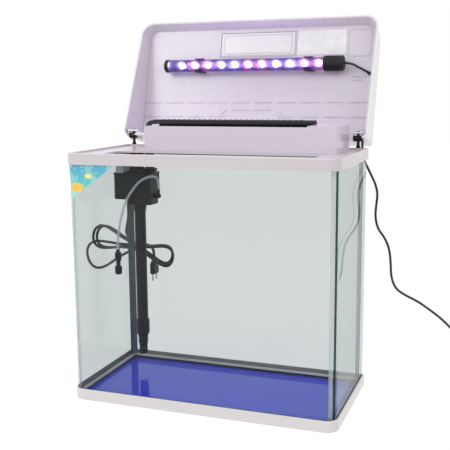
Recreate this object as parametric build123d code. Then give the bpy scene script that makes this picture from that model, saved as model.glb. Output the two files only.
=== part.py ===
from build123d import *
import os
from math import atan, cos, degrees, dist, pi, radians, sin, sqrt, tan

# Glass aquarium set: tank, white frames, open lighting hood, top filter box, pump and leads.
# Millimetres. Origin at the bottom centre of the tank, front towards -Y, up is +Z.

# Tank
width = 500.0
depth = 250.0
height = 458.0                      # floor to the top of the top frame
frame_height = 20.0
front_corner = 22.0                 # plan radius of the front corners
rear_corner = 5.0
frame_wall = 3.0
glass_play = 0.5
glass = 5.0
glass_inset = frame_wall + glass_play
floor_gap = 1.5                     # air under the base plate
base_plate = 2.0
base_ribs = 5
blue_sheet = 1.5
floor_glass = 5.0
pane_foot = floor_gap + base_plate
sheet_top = pane_foot + blue_sheet
water_floor = sheet_top + floor_glass
pane_top = height - 12.5
bead = 4.0                          # silicone at the foot of the panes
corner_bead = 8.0                   # silicone in the two rear corners

# Top frame
lip_width = 9.0
deck_drop = 3.0
deck_plate = 3.0
deck_top = height - deck_drop
skirt = 2.2
feed_opening = (width - 108.0, depth - 152.0)  # front opening, left to right and front to back
feed_front = -depth / 2 + lip_width + 2.0
deck_front = feed_front + feed_opening[1]
cord_slot = 8.0

# Hood, described closed; it is turned open at the end
hinge_y = depth / 2 - 4.5
hinge_z = height + 17.5
open_angle = 116.0
hood_rest = 0.9                     # gap between the closed rim and the frame
rim_z = height + hood_rest
hood_half = width / 2 - 1.5
hood_front = -depth / 2 - 2.5
hood_rear = depth / 2
hood_corner = 25.0
shell_wall = 2.4
top_rise = 85.6                     # outer top above the frame, at the rear
top_slope = 0.13
top_half = hood_half - 2.5
top_front = hood_front + 7.5
top_rear = hood_rear - 15.0
top_round = 6.0
liner_wall = 1.5
liner_rise = 78.1                   # inner panel above the frame, at the rear
liner_slope = 0.22
liner_half_front = top_half - 7.5
liner_half_rear = top_half - 5.5
liner_front = top_front + 1.0
liner_rear = top_rear - 3.0
liner_rim_half = hood_half - shell_wall - liner_wall - 0.3

# Hinges
post_x = width / 2 - 19.5
post_stem = 2.8
post_foot = 1.4                     # collar on the frame
barrel_radius = 5.5
hinge_pin = 1.9
pin_fit = 0.06
press_play = 0.02
notch = 9.0                         # half the width of the gap round each post
notch_top = 16.0                    # above the hinge line, with the hood closed
lug = 3.0
knob_radius = 2.6

# Feeding hatch
hatch_x = 2.0
hatch_width = 157.0
hatch_front = hood_front + 16.5
hatch_rear = hatch_front + 46.0
hatch_gap = 0.7
hatch_wall = 2.2                    # of the well between the roof and the inner panel
hatch_plate = 3.0
hatch_pin = 1.0
hatch_knuckle = 2.2
hatch_pin_back = 3.0                # pin from the rear edge, and above the panel's inner face
hatch_pin_rise = 3.6

# Lamp
lamp_v = hood_rear - hood_front - 81.5  # from the rear, along the inner panel
lamp_w = 17.5                       # off the inner panel
lamp_radius = 12.5
lamp_wall = 1.2
lamp_left = -width / 2 + 62.0
lamp_right = width / 2 - 98.0
end_cap = (9.0, 13.2)               # length, radius
cord_cap = (40.0, 15.0)
cap_grooves = 16
led_white = (0, 3, 4, 7, 8)         # places along the lamp
led_red = (1, 2, 5, 6, 9, 10)
led_first = lamp_left + 35.6
led_pitch = (lamp_right - lamp_left - 51.0) / 10
led_radius = 4.2
clip_places = (lamp_left + 74.0, lamp_right - 36.5)
clip_width = 16.0
clip_play = 0.3
clip_wall = 2.0
screw_shank = 1.3
screw_sink = -1.2                   # head below the clip's bore

# Filter box
box_left = -width / 2 + 105.0
box_right = width / 2 - 31.0
box_front = deck_front + 5.0
box_rear = depth / 2 - 25.0
box_top = deck_top + 46.5
box_wall = 2.4
box_divider = box_right - 57.0      # wall between the media and the outlet
bar_y = box_rear - 40.0
bar_z = box_top + 1.5
bar_radius = 8.0
bar_wall = 1.6
bar_left = box_left - 31.0
bar_right = box_divider + 3.0
bar_fit = 0.08
riser_x = box_left - 23.0

# Pump and intake
pump_x = -width / 2 + 52.0
pump_y = bar_y + 2.0
pump_width = 78.0
pump_depth = 54.0
pump_top = deck_top - 51.0
pump_bottom = pump_top - 49.0
pump_lid = 3.6
chamber_bottom = pump_bottom - 10.0
intake_x = pump_x + 5.3
intake_radius = 11.2
strainer_bottom = water_floor + 26.0
rotor_radius = 9.0

shaft_radius = 1.5
running_fit = 0.06
hanger_x = pump_x + 1.2
hanger_width = 16.5
hanger_half = 16.0                  # half its depth, front to back
hanger_wall = 2.4
clip_x = pump_x - 15.0
clip_depth = 28.0
coupling_bottom = strainer_bottom + 22.0
coupling_top = coupling_bottom + 49.0
intake_bottom = coupling_top - 6.0
coupling_radius = 13.6
strainer_neck = 7.5

# Air valve
valve_x = pump_x - 28.5
valve_y = pump_y - 34.5
valve_top = pump_bottom - 99.0

# Leads
pump_cord = 5.6
lamp_cord = 4.5
air_tube = 5.0
cord_x = -width / 2 + 28.0          # where the pump's lead crosses the rear pane
lead_start_y = pump_y + 12.0
hank_x = -244.0
hank_y = 141.0
hank_z = 238.0
hank_reach = (88.0, 104.0)          # from the tie to the right and left ends
hank_tilt = 13.0
hank_pitch = 7.4
hank_waist = 3.5                    # half the distance between the two runs at the tie
hank_turns = 3
plug_size = (12.0, 26.0, 31.0)      # thickness, width, length
plug_pin = (2.0, 15.0, 18.0)        # radius, length, spacing
coil_x = 490.0
coil_y = 118.0
coil_radius = 24.0
coil_pitch = 5.1
coil_turns = 5.25
coil_tail = 36.0
coil_bottom = lamp_cord / 2 + 0.3
coil_top = coil_bottom + coil_pitch * coil_turns
plug_x = -212.0
plug_top = 210.0
slot_z = (pane_top + deck_top - deck_plate) / 2


def cuboid(x0, x1, y0, y1, z0, z1):
    return Pos((x0 + x1) / 2, (y0 + y1) / 2, (z0 + z1) / 2) * Box(x1 - x0, y1 - y0, z1 - z0)


def upright(radius, x, y, z0, z1):
    return Pos(x, y, (z0 + z1) / 2) * Cylinder(radius, z1 - z0)


def along_x(radius, x0, x1, y, z):
    return Pos((x0 + x1) / 2, y, z) * Rot(0, 90, 0) * Cylinder(radius, x1 - x0)


def corner_face(front_half, rear_half, front, rear, front_radius, rear_radius):
    """A plan outline with its own front and rear widths and corner radii."""
    points = ((-front_half, front), (front_half, front), (rear_half, rear), (-rear_half, rear))
    face = Polygon(*points, align=None)
    face = fillet(face.vertices().sort_by(Axis.Y)[-2:], rear_radius)
    return fillet(face.vertices().sort_by(Axis.Y)[:2], front_radius)


def frame_face(inset, overrun=0.0):
    """The tank's plan outline, drawn in by an inset; it can run out past the rear."""
    half = width / 2 - inset
    rear_radius = max(rear_corner - inset, 0.6)
    rear = depth / 2 - inset + overrun
    return corner_face(half, half, -depth / 2 + inset, rear, front_corner - inset, rear_radius)


def slab(face, z0, z1):
    return Pos(0, 0, z0) * extrude(face, z1 - z0)


# Tank
def bottom_frame():
    body = slab(frame_face(0), 0, frame_height)
    body = chamfer(body.faces().sort_by(Axis.Z)[-1].outer_wire().edges(), 1.2)
    body -= slab(frame_face(frame_wall), pane_foot, frame_height + 1)
    body -= slab(frame_face(frame_wall + 2), -1, floor_gap)
    for i in range(base_ribs):
        x = width * ((i + 1) / (base_ribs + 1) - 0.5)
        body += cuboid(x - 1.5, x + 1.5, -depth / 2 + frame_wall, depth / 2 - frame_wall, 0, floor_gap + 0.5)
    return body


def blue_base():
    return slab(frame_face(glass_inset + glass + 0.3), pane_foot, sheet_top)


def floor_pane():
    return slab(frame_face(glass_inset + glass + 0.2), sheet_top, water_floor)


def wrap_pane():
    """Front and both sides, bent from one sheet."""
    rear_cut = depth / 2 - glass_inset - glass
    body = slab(frame_face(glass_inset) - frame_face(glass_inset + glass, 4 * glass), pane_foot, pane_top)
    return body - cuboid(-width, width, rear_cut, depth, 0, height)


def rear_pane():
    half = width / 2 - glass_inset
    rear = depth / 2 - glass_inset
    pane = cuboid(-half, half, rear - glass, rear, pane_foot, pane_top)
    return chamfer(pane.edges().filter_by(Axis.Z).sort_by(Axis.Y)[-2:], 1.0)


def foot_bead():
    inset = glass_inset + glass
    ring = slab(frame_face(inset) - frame_face(inset + bead), water_floor, water_floor + bead)
    edges = ring.faces().sort_by(Axis.Z)[-1].inner_wires()[0].edges()
    return chamfer(edges, bead - 0.5)


def corner_beads():
    """Silicone in the two rear corners."""
    y = depth / 2 - glass_inset - glass
    beads = []
    for side in (-1, 1):
        x = side * (width / 2 - glass_inset - glass)
        corner = ((x, y), (x - side * corner_bead, y), (x, y - corner_bead))
        beads.append(slab(Polygon(*corner[::side], align=None), water_floor + bead, pane_top - 8))
    return Compound(children=beads)


def top_frame():
    body = slab(frame_face(0), height - frame_height, height)
    body = chamfer(body.faces().sort_by(Axis.Z)[-1].outer_wire().edges(), 1.2)
    plate_bottom = deck_top - deck_plate
    body -= slab(frame_face(frame_wall), height - frame_height - 1, plate_bottom)
    inner = glass_inset + glass + 0.5
    body += slab(frame_face(inner) - frame_face(inner + skirt), height - frame_height + 3, plate_bottom + 0.5)
    body -= slab(frame_face(lip_width), deck_top, height + 1)
    opening = Pos(0, (feed_front + deck_front) / 2) * RectangleRounded(*feed_opening, 8)
    body -= slab(opening, plate_bottom - 1, height)
    # holes under the filter box, for the riser and for the hinge posts
    drain = (box_divider + box_right) / 2
    body -= upright(13, drain, (box_front + box_rear) / 2, plate_bottom - 1, height)
    body -= upright(bar_radius + 2, riser_x, bar_y, plate_bottom - 1, height)
    for side in (-1, 1):
        body -= upright(post_stem + 0.1, side * post_x, hinge_y, plate_bottom - 1, height + 1)
    # the pump's lead leaves over the rear pane
    half = cord_slot / 2
    body -= cuboid(cord_x - half, cord_x + half, depth / 2 - 45, depth / 2 + 1, pane_top, plate_bottom)
    return body


# Hood
upper_hole = (liner_half_rear - 7.4, 154.5)         # where the lamp's lead goes through the inner panel
lower_hole = (liner_half_rear - 6.5, 44.4)

slope_angle = degrees(atan(liner_slope))
panel = Plane(
    origin=(0, hood_rear, height + liner_rise),
    x_dir=(1, 0, 0),
    z_dir=(0, -sin(radians(slope_angle)), cos(radians(slope_angle))),
)


def on_panel(shape, x, v, w):
    """Sets a shape on the inner panel: x across, v from the rear, w off the panel."""
    return panel * Pos(x, -v, -w) * shape


def sloped_face(face_args, rise, slope):
    front_half, rear_half, front, rear, front_radius, rear_radius = face_args
    angle = atan(slope)
    plane = Plane(origin=(0, hood_rear, height + rise), x_dir=(1, 0, 0), z_dir=(0, -sin(angle), cos(angle)))
    local = [(y - hood_rear) / cos(angle) for y in (front, rear)]
    return plane * corner_face(front_half, rear_half, local[0], local[1], front_radius, rear_radius)


def hood_block(inset):
    """The hood's outer form, or the same form a wall thinner."""
    rim = Pos(0, 0, rim_z) * corner_face(
        hood_half - inset, hood_half - inset, hood_front + inset, hood_rear - inset,
        hood_corner - inset, rear_corner - inset / 2)
    roof = sloped_face(
        (top_half - inset, top_half - inset, top_front + inset, top_rear - inset,
         hood_corner - inset, rear_corner - inset / 2), top_rise - inset, top_slope)
    block = loft([rim, roof], ruled=True)
    if inset == 0:
        block = fillet(block.faces().sort_by(Axis.Z)[-1].edges(), top_round)
    return block


def liner_block(extra):
    """The space inside the inner panel, or the same space a wall larger."""
    rim = Pos(0, 0, rim_z) * corner_face(
        liner_rim_half + extra, liner_rim_half + extra, hood_front + 4.2 - extra, hood_rear - 4.2 + extra,
        hood_corner - 3, rear_corner - 2)
    flat = sloped_face(
        (liner_half_front + extra, liner_half_rear + extra, liner_front - extra, liner_rear + extra,
         hood_corner - 6, rear_corner - 2), liner_rise + extra, liner_slope)
    return loft([rim, flat], ruled=True)


def hatch_span():
    """The hatch's rear and front edges, measured along the inner panel."""
    lean = cos(radians(slope_angle))
    return (hood_rear - hatch_rear) / lean, (hood_rear - hatch_front) / lean


def hatch_column(inset):
    """The well's opening, square to the inner panel, or the same opening with a margin."""
    v0, v1 = hatch_span()
    opening = Rectangle(hatch_width - 2 * inset, v1 - v0 - 2 * inset)
    return on_panel(extrude(opening, 60, both=True), hatch_x, (v0 + v1) / 2, 0)


def hatch_axis():
    """Height and depth of the hatch's pins, in the well's side walls."""
    rear_edge = hatch_span()[0]
    point = panel.from_local_coords((0, -(rear_edge + hatch_pin_back), hatch_pin_rise))
    return point.Y, point.Z


def hinge_gap(side, half, top):
    x = side * post_x
    return cuboid(x - half, x + half, hinge_y - 14, hood_rear + 2, rim_z - 1, hinge_z + top)


def hood_shell():
    outer = hood_block(0)
    inner = hood_block(shell_wall)
    body = outer - inner
    body -= hatch_column(0)
    well = (hatch_column(-hatch_wall) - hatch_column(0)) & inner
    body += well - liner_block(liner_wall + 0.2)
    for side in (-1, 1):
        body -= hinge_gap(side, notch, notch_top)
        x = side * post_x
        for step in (-1, 1):
            inside = x + step * notch
            outside = inside + step * lug
            low, high = sorted((inside, outside))
            plate = cuboid(low, high, hinge_y - 8, hood_rear - 1.2, hinge_z - 8, hinge_z + 15)
            body += plate
        reach = notch + lug
        body += cuboid(x - reach, x + reach, hinge_y - 8.6, hinge_y - 6.1, hinge_z - 11.0, hinge_z - 7.2)
        body -= along_x(hinge_pin + press_play, x - reach - 1, x + reach + 1, hinge_y, hinge_z)
    reach = hatch_width / 2 + hatch_wall + 1
    return body - along_x(hatch_pin + press_play, hatch_x - reach, hatch_x + reach, *hatch_axis())


def hood_liner():
    body = liner_block(liner_wall) - liner_block(0)
    body -= hatch_column(0)
    for side in (-1, 1):
        body -= hinge_gap(side, notch + lug + 0.5, notch_top + 1)
    # raised outline round the hatch, ribs and the blank square
    room = liner_block(liner_wall)
    v0, v1 = hatch_span()
    frame = Rectangle(hatch_width + 5, v1 - v0 + 5) - Rectangle(hatch_width + 1, v1 - v0 + 1)
    body += on_panel(extrude(frame, -1.4), hatch_x, (v0 + v1) / 2, 0) & room
    for x, v, length in rib_places():
        body += on_panel(rib(length), x, v, 0)
    square = RectangleRounded(46, 54, 5) - RectangleRounded(43.6, 51.6, 4)
    body += on_panel(extrude(square, -0.9), liner_half_front - 28, (v0 + v1) / 2 - 2, 0)
    for x in clip_places:
        body -= on_panel(Cylinder(screw_shank + press_play, 8), x, lamp_v, 0)
    for x, v in (upper_hole, lower_hole):
        body -= on_panel(Cylinder(lamp_cord / 2 + 1.6, 12), x, v, 0)
    return body - on_panel(Cylinder(1.3, 12), 232.5, 58.0, 0)


def rib(length):
    bar = SlotOverall(length, 3.0)
    return extrude(bar, -1.5)


def rib_places():
    """Two rows of ten short ribs; the lower row steps up in the middle."""
    places = []
    pitch = (2 * liner_half_rear - 45.4) / 9
    for i in range(10):
        x = pitch * (i - 4.5) - 2.7
        places.append((x, 99.0, 35.0))
        middle = 4 <= i <= 5
        places.append((x, 84.0 if middle else 70.0, 35.0))
    places += [(liner_half_rear - 24.5, 150.5, 35.0), (liner_half_rear - 30.5, 143.0, 22.0)]
    return places


def hatch_flap():
    """The flap at the foot of the well, flush with the inner panel, with its two knuckles and a pull."""
    v0, v1 = hatch_span()
    plate = Rectangle(hatch_width - 2 * hatch_gap, v1 - v0 - 2 * hatch_gap)
    body = on_panel(extrude(plate, hatch_plate), hatch_x, (v0 + v1) / 2, 0)
    pull = Pos(0, 0, hatch_plate + 3) * Box(34, 2.4, 8)
    body += on_panel(pull, hatch_x, v1 - 8, 0)
    y, z = hatch_axis()
    for end in (-1, 1):
        x = hatch_x + end * (hatch_width / 2 - 4.5)
        body += along_x(hatch_knuckle, x - 3, x + 3, y, z)
        body -= along_x(hatch_pin + pin_fit, x - 4, x + 4, y, z)
    return body


def hatch_pins():
    pins = []
    for end in (-1, 1):
        ends = [hatch_x + end * (hatch_width / 2 - 7.6), hatch_x + end * (hatch_width / 2 + hatch_wall)]
        pins.append(along_x(hatch_pin, min(ends), max(ends), *hatch_axis()))
    return Compound(children=pins)


def hatch_inner():
    """Raised outline on the flap's inner face."""
    v0, v1 = hatch_span()
    long, high = hatch_width - 12, v1 - v0 - 9
    ring = RectangleRounded(long, high, 4) - RectangleRounded(long - 2.4, high - 2.4, 3)
    return on_panel(extrude(ring, -0.8), hatch_x, (v0 + v1) / 2, 0)


def label_sheet():
    v0, v1 = hatch_span()
    sheet = extrude(RectangleRounded(98, 49, 2), -0.3)
    return on_panel(sheet, liner_half_front - 104, (v0 + v1) / 2 + 0.4, 0)


def hinge_post(side):
    x = side * post_x
    body = upright(post_stem, x, hinge_y, deck_top - deck_plate, hinge_z)
    body += upright(post_stem + 1.6, x, hinge_y, height, height + post_foot)
    foot = height + post_foot
    gusset = Polygon((x - 4.2, foot), (x + 4.2, foot), (x, height + 12), align=None)
    body += extrude(Plane(origin=(0, hinge_y, 0), x_dir=(1, 0, 0), z_dir=(0, -1, 0)) * gusset, 1.0, both=True)
    body += along_x(barrel_radius, x - notch + 0.4, x + notch - 0.4, hinge_y, hinge_z)
    knob_top = hinge_z + 11.5
    body += upright(knob_radius, x, hinge_y, hinge_z + 3.5, knob_top)
    body += Pos(x, hinge_y, knob_top) * Sphere(knob_radius)
    return body - along_x(hinge_pin + pin_fit, x - notch, x + notch, hinge_y, hinge_z)


def hinge_pins():
    reach = notch + lug
    rods = [along_x(hinge_pin, side * post_x - reach, side * post_x + reach, hinge_y, hinge_z) for side in (-1, 1)]
    return Compound(children=rods)


# Lamp
def lamp_tube():
    length = lamp_right - lamp_left
    tube = Cylinder(lamp_radius, length) - Cylinder(lamp_radius - lamp_wall, length + 1)
    return on_panel(Rot(0, 90, 0) * tube, (lamp_left + lamp_right) / 2, lamp_v, lamp_w)


def lamp_end():
    length, radius = end_cap
    cap = Rot(0, 90, 0) * Cylinder(radius, length)
    cap = chamfer(cap.faces().sort_by(Axis.X)[0].edges(), 2.0)
    cap -= Pos(2, 0, 0) * Rot(0, 90, 0) * Cylinder(lamp_radius, length)
    return on_panel(cap, lamp_left - 2 + length / 2, lamp_v, lamp_w)


def lamp_cord_cap():
    length, radius = cord_cap
    cap = Rot(0, 90, 0) * Cylinder(radius, length)
    cap = fillet(cap.faces().sort_by(Axis.X)[-1].edges(), 4)
    cap = chamfer(cap.faces().sort_by(Axis.X)[0].edges(), 1.2)
    for i in range(cap_grooves):
        cap -= Rot(i * 360 / cap_grooves, 0, 0) * Pos(-2, 0, radius) * Box(length - 12, 2.2, 1.6)
    cap -= Pos(-length / 2 + 3, 0, 0) * Rot(0, 90, 0) * Cylinder(lamp_radius, 8)
    return on_panel(cap, lamp_right - 6 + length / 2, lamp_v, lamp_w)


def lamp_board():
    length = lamp_right - lamp_left - 8
    board = Box(length, 18, 1.6)
    for y in (-7.6, -6.0, 6.0, 7.6):
        board += Pos(0, y, -1.4) * Box(length, 0.9, 1.6)
    return on_panel(board, (lamp_left + lamp_right) / 2, lamp_v, lamp_w)


def led(i):
    dome = Pos(0, 0, -2.2) * Sphere(led_radius)
    dome &= Pos(0, 0, -5.9) * Box(12, 12, 10)
    base = Pos(0, 0, -1.3) * Cylinder(led_radius + 0.8, 0.9)
    return on_panel(dome + base, led_first + led_pitch * i, lamp_v, lamp_w)


def leds(numbers):
    return Compound(children=[led(i) for i in numbers])


def lamp_clip(x):
    inner = lamp_radius + clip_play
    ring = Cylinder(inner + clip_wall, clip_width) - Cylinder(inner, clip_width + 1)
    mouth = Pos(0, -inner - 3, 0) * Box(1.45 * inner, 2 * inner, clip_width + 1)
    ring = Rot(0, 90, 0) * (Rot(0, 0, 90) * (ring - mouth))
    foot_depth = lamp_w - inner
    foot = Pos(0, 0, lamp_w - foot_depth / 2) * Box(clip_width, 22, foot_depth)
    foot -= Rot(0, 90, 0) * Cylinder(inner, clip_width + 1)
    screw = Pos(0, 0, inner - screw_sink) * screw_form(press_play)
    return on_panel(ring + foot - screw, x, lamp_v, lamp_w)


def screw_form(play):
    """Countersunk screw, its head towards the lamp, or the hole for it."""
    head = Rot(180, 0, 0) * Cone(1.2 + play, 3.0 + play, 1.6)
    return head + Pos(0, 0, 3.6) * Cylinder(screw_shank + play, 6)


def clip_screws():
    """One screw in each clip, behind the lamp."""
    depth_in = lamp_radius + clip_play - screw_sink
    screw = Pos(0, 0, depth_in) * screw_form(0)
    return Compound(children=[on_panel(screw, x, lamp_v, lamp_w) for x in clip_places])


# Filter box
def filter_box():
    body = cuboid(box_left, box_right, box_front, box_rear, deck_top, box_top)
    upright_edges = body.edges().filter_by(Axis.Z)
    body = fillet(upright_edges, 3)
    inner = cuboid(box_left + box_wall, box_right - box_wall, box_front + box_wall, box_rear - box_wall,
                   deck_top + box_wall, box_top + 1)
    body -= inner
    body += cuboid(box_divider - 1, box_divider + 1, box_front + 1, box_rear - 1, deck_top + 1, box_top - 9)
    # saddle for the spray bar in the left wall, and a tab on the front wall
    body -= along_x(bar_radius + 0.4, box_left - 1, box_left + box_wall + 1, bar_y, bar_z)
    x = box_left + 15
    corners = [(x, box_top - 2), (x + 16, box_top - 2), (x + 16, box_top + 4.2), (x + 3, box_top + 3.6)]
    tab = Polygon(*corners, align=None)
    tab = Plane(origin=(0, box_front, 0), x_dir=(1, 0, 0), z_dir=(0, -1, 0)) * tab
    body += extrude(tab, -box_wall)
    drain = (box_divider + box_right) / 2
    middle = (box_front + box_rear) / 2
    body -= upright(8, drain, middle, deck_top - 1, deck_top + 10)
    spout = upright(11, drain, middle, deck_top - 14, deck_top + 1) - upright(8, drain, middle, deck_top - 15,
                                                                             deck_top + 3)
    return body + spout


def box_cover():
    """White lid over the outlet end of the filter box."""
    x0, x1 = box_divider + 4, box_right
    lid = cuboid(x0, x1, box_front, box_rear, box_top, box_top + 2)
    lid = fillet(lid.edges().filter_by(Axis.Z), 3)
    lip = cuboid(x0 + 2, x1 - box_wall - 0.4, box_front + box_wall + 0.4, box_rear - box_wall - 0.4,
                 box_top - 4, box_top)
    lip -= cuboid(x0 + 3.5, x1 - box_wall - 2, box_front + box_wall + 2, box_rear - box_wall - 2,
                  box_top - 5, box_top)
    return lid + lip


def filter_foam():
    gap = box_wall + 0.6
    return cuboid(box_left + gap, box_divider - 2, box_front + gap, box_rear - gap,
                  deck_top + box_wall + 12, bar_z - bar_radius - 4)


def filter_grate():
    gap = box_wall + 0.4
    plate = cuboid(box_left + gap, box_divider - 1.6, box_front + gap, box_rear - gap,
                   deck_top + box_wall + 9, deck_top + box_wall + 11.4)
    across, along = (box_divider - box_left - 20) // 15, (box_rear - box_front - 12) // 24
    slots = GridLocations(15, 24, int(across), int(along))
    for spot in slots:
        x = (box_left + box_divider) / 2 + spot.position.X
        y = (box_front + box_rear) / 2 + spot.position.Y
        plate -= cuboid(x - 4.5, x + 4.5, y - 9, y + 9, deck_top, deck_top + 20)
    for x in (box_left + 12, box_divider - 14):
        for y in (box_front + 14, box_rear - 14):
            plate += upright(3, x, y, deck_top + box_wall, deck_top + box_wall + 10)
    return plate


def spray_bar():
    tube = along_x(bar_radius, bar_left + 24, bar_right, bar_y, bar_z)
    tube -= along_x(bar_radius - bar_wall, bar_left + 20, bar_right - 3, bar_y, bar_z)
    pitch = 10.5
    count = int((bar_right - bar_left - 50) / pitch)
    for i in range(count):
        x = bar_left + 36 + pitch * i
        tube -= cuboid(x - 2.6, x + 2.6, bar_y - 2.2, bar_y + 2.2, bar_z - bar_radius - 1, bar_z - 3)
        rib_ring = along_x(bar_radius + 0.7, x + 3.8, x + 6.2, bar_y, bar_z)
        rib_ring -= along_x(bar_radius - 0.4, x + 3, x + 7, bar_y, bar_z)
        tube += rib_ring
    return tube


def bar_elbow():
    """Elbow from the pump's riser into the spray bar."""
    bend = 14.0
    path = FilletPolyline((riser_x, bar_y, deck_top - 22), (riser_x, bar_y, bar_z), (bar_left + 40, bar_y, bar_z),
                          radius=7.0)
    bore = bar_radius - bar_wall - bar_fit - 1.5
    outer = sweep(Plane(origin=path @ 0, z_dir=path % 0) * Circle(bar_radius - bar_wall - bar_fit), path)
    inner = sweep(Plane(origin=path @ 0, z_dir=path % 0) * Circle(bore), path)
    sleeve = along_x(bar_radius, riser_x + bend - 2, bar_left + 23.5, bar_y, bar_z)
    cup = upright(bar_radius, riser_x, bar_y, deck_top + 1, bar_z - 8)
    return (outer + sleeve + cup) - inner


# Pump
def pump_housing():
    half_w, half_d = pump_width / 2, pump_depth / 2
    body = cuboid(pump_x - half_w, pump_x + half_w, pump_y - half_d, pump_y + half_d, pump_bottom, pump_top)
    body = fillet(body.edges().filter_by(Axis.Z), 7)
    body = fillet(body.faces().sort_by(Axis.Z)[0].edges(), 2.5)
    for z in (pump_bottom + 12, pump_bottom + 22, pump_bottom + 32):
        rim = cuboid(pump_x - half_w - 1, pump_x + half_w + 1, pump_y - half_d - 1, pump_y + half_d + 1, z, z + 1.6)
        core = cuboid(pump_x - half_w + 0.9, pump_x + half_w - 0.9, pump_y - half_d + 0.9,
                      pump_y + half_d - 0.9, z - 1, z + 3)
        body -= rim - fillet(core.edges().filter_by(Axis.Z), 6.2)
    boss = Pos(pump_x + 14, pump_y - half_d, pump_top - 22) * Rot(90, 0, 0) * Cylinder(16, 5)
    body += fillet(boss.faces().sort_by(Axis.Y)[0].edges(), 2)
    body -= cuboid(pump_x - half_w + 3, pump_x + half_w - 3, pump_y - half_d + 3, pump_y + half_d - 3,
                   pump_bottom + 34, pump_top + 1)
    body -= upright(rotor_radius + 1.2, intake_x, pump_y, pump_bottom - 1, pump_bottom + 31)
    return body - upright(shaft_radius + press_play, intake_x, pump_y, pump_bottom + 30, pump_bottom + 35)


def pump_cover():
    half_w, half_d = pump_width / 2 + 1, pump_depth / 2 + 1
    lid = cuboid(pump_x - half_w, pump_x + half_w, pump_y - half_d, pump_y + half_d, pump_top, pump_top + pump_lid)
    lid = fillet(lid.edges().filter_by(Axis.Z), 8)
    lid = chamfer(lid.faces().sort_by(Axis.Z)[-1].edges(), 1)
    lid -= upright(bar_radius + 1.2, riser_x, bar_y, pump_top - 1, pump_top + 8)
    gland = upright(5.0, cord_x, lead_start_y, pump_top + pump_lid, pump_top + pump_lid + 5)
    return lid + gland - upright(pump_cord / 2 + press_play, cord_x, lead_start_y, pump_top + pump_lid,
                                 pump_top + 12)


def pump_riser():
    """Outlet bell on the lid, and the riser that the elbow slides into."""
    base = pump_top + pump_lid
    bell = Pos(riser_x, bar_y, base + 4) * Cone(11.5, 15.5, 8)
    neck = upright(bar_radius + 1.1, riser_x, bar_y, pump_top, deck_top - deck_plate - 1)
    bore = upright(bar_radius - bar_wall, riser_x, bar_y, pump_top - 7, deck_top)
    return bell + neck - bore


def impeller_chamber():
    body = cuboid(pump_x - 14, pump_x + pump_width / 2 - 1, pump_y - 22, pump_y + 22, chamber_bottom, pump_bottom)
    body = fillet(body.edges().filter_by(Axis.Z), 8)
    body -= upright(16, intake_x, pump_y, chamber_bottom + 2, pump_bottom + 1)
    body -= upright(intake_radius - 2, intake_x, pump_y, chamber_bottom - 1, chamber_bottom + 3)
    # bearing of the shaft, on a bar across the suction hole
    body += cuboid(intake_x - 10, intake_x + 10, pump_y - 1.2, pump_y + 1.2, chamber_bottom, chamber_bottom + 2)
    body += upright(3.0, intake_x, pump_y, chamber_bottom, chamber_bottom + 2.2)
    return body - upright(shaft_radius + press_play, intake_x, pump_y, chamber_bottom + 0.8, chamber_bottom + 3)


def impeller():
    hub = upright(4.2, intake_x, pump_y, chamber_bottom + 2.6, pump_bottom - 0.4)
    for i in range(6):
        blade = Rot(0, 0, 60 * i) * Pos(9, 0, 0) * Box(11, 1.4, 5.4)
        hub += Pos(intake_x, pump_y, chamber_bottom + 5.4) * blade
    hub += upright(14.2, intake_x, pump_y, pump_bottom - 1.8, pump_bottom - 0.4)
    return hub - upright(shaft_radius + running_fit, intake_x, pump_y, chamber_bottom, pump_bottom + 1)


def rotor_magnet():
    body = upright(rotor_radius, intake_x, pump_y, pump_bottom - 0.4, pump_bottom + 30)
    return body - upright(shaft_radius + running_fit, intake_x, pump_y, pump_bottom - 2, pump_bottom + 31)


def rotor_shaft():
    return upright(shaft_radius, intake_x, pump_y, chamber_bottom + 0.8, pump_bottom + 34)


def pump_hanger():
    """White saddle that hangs the pump from the deck, beside its grey clip."""
    top = deck_top - deck_plate
    base = pump_top + pump_lid
    x0, x1 = hanger_x - hanger_width / 2, hanger_x + hanger_width / 2
    front, rear = pump_y - hanger_half, pump_y + hanger_half
    body = cuboid(x0, x1, front, rear, base, top)
    return body - cuboid(x0 - 1, x1 + 1, front + hanger_wall, rear - hanger_wall, base + hanger_wall, top + 1)


def grey_clip():
    top = deck_top - deck_plate
    base = pump_top + pump_lid
    x0, x1 = clip_x - hanger_width, clip_x
    front = pump_y - clip_depth
    body = cuboid(x0, x1, front, front + clip_depth, base, top)
    return body - cuboid(x0 - 1, x1 + 1, front + clip_wall, front + clip_depth - clip_wall, base + clip_wall, top + 1)


def venturi():
    z = 361.5
    x0 = pump_x + pump_width / 2
    body = along_x(4.6, x0, x0 + 12.5, pump_y, z)
    body = chamfer(body.faces().sort_by(Axis.X)[-1].edges(), 2.5)
    body += upright(2.4, x0 + 8, pump_y, z, z + 13)
    body += Pos(x0 + 8, pump_y, z + 11.4) * Cylinder(2.9, 1.2)
    return body - upright(1.2, x0 + 8, pump_y, z + 4, z + 14)


def intake_pipe():
    pipe = upright(intake_radius, intake_x, pump_y, intake_bottom, chamber_bottom)
    pipe += upright(intake_radius + 1.6, intake_x, pump_y, chamber_bottom - 14, chamber_bottom)
    return pipe - upright(intake_radius - 1.6, intake_x, pump_y, intake_bottom - 1, chamber_bottom + 1)


def intake_coupling():
    neck = 9.8
    body = upright(coupling_radius, intake_x, pump_y, 80, coupling_top)
    body += Pos(intake_x, pump_y, 76.5) * Cone(neck, coupling_radius, 7)
    body += upright(neck, intake_x, pump_y, coupling_bottom, 75)
    body -= upright(intake_radius + press_play, intake_x, pump_y, intake_bottom, coupling_top + 1)
    return body - upright(strainer_neck + running_fit, intake_x, pump_y, 50, coupling_top + 1)


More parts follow.
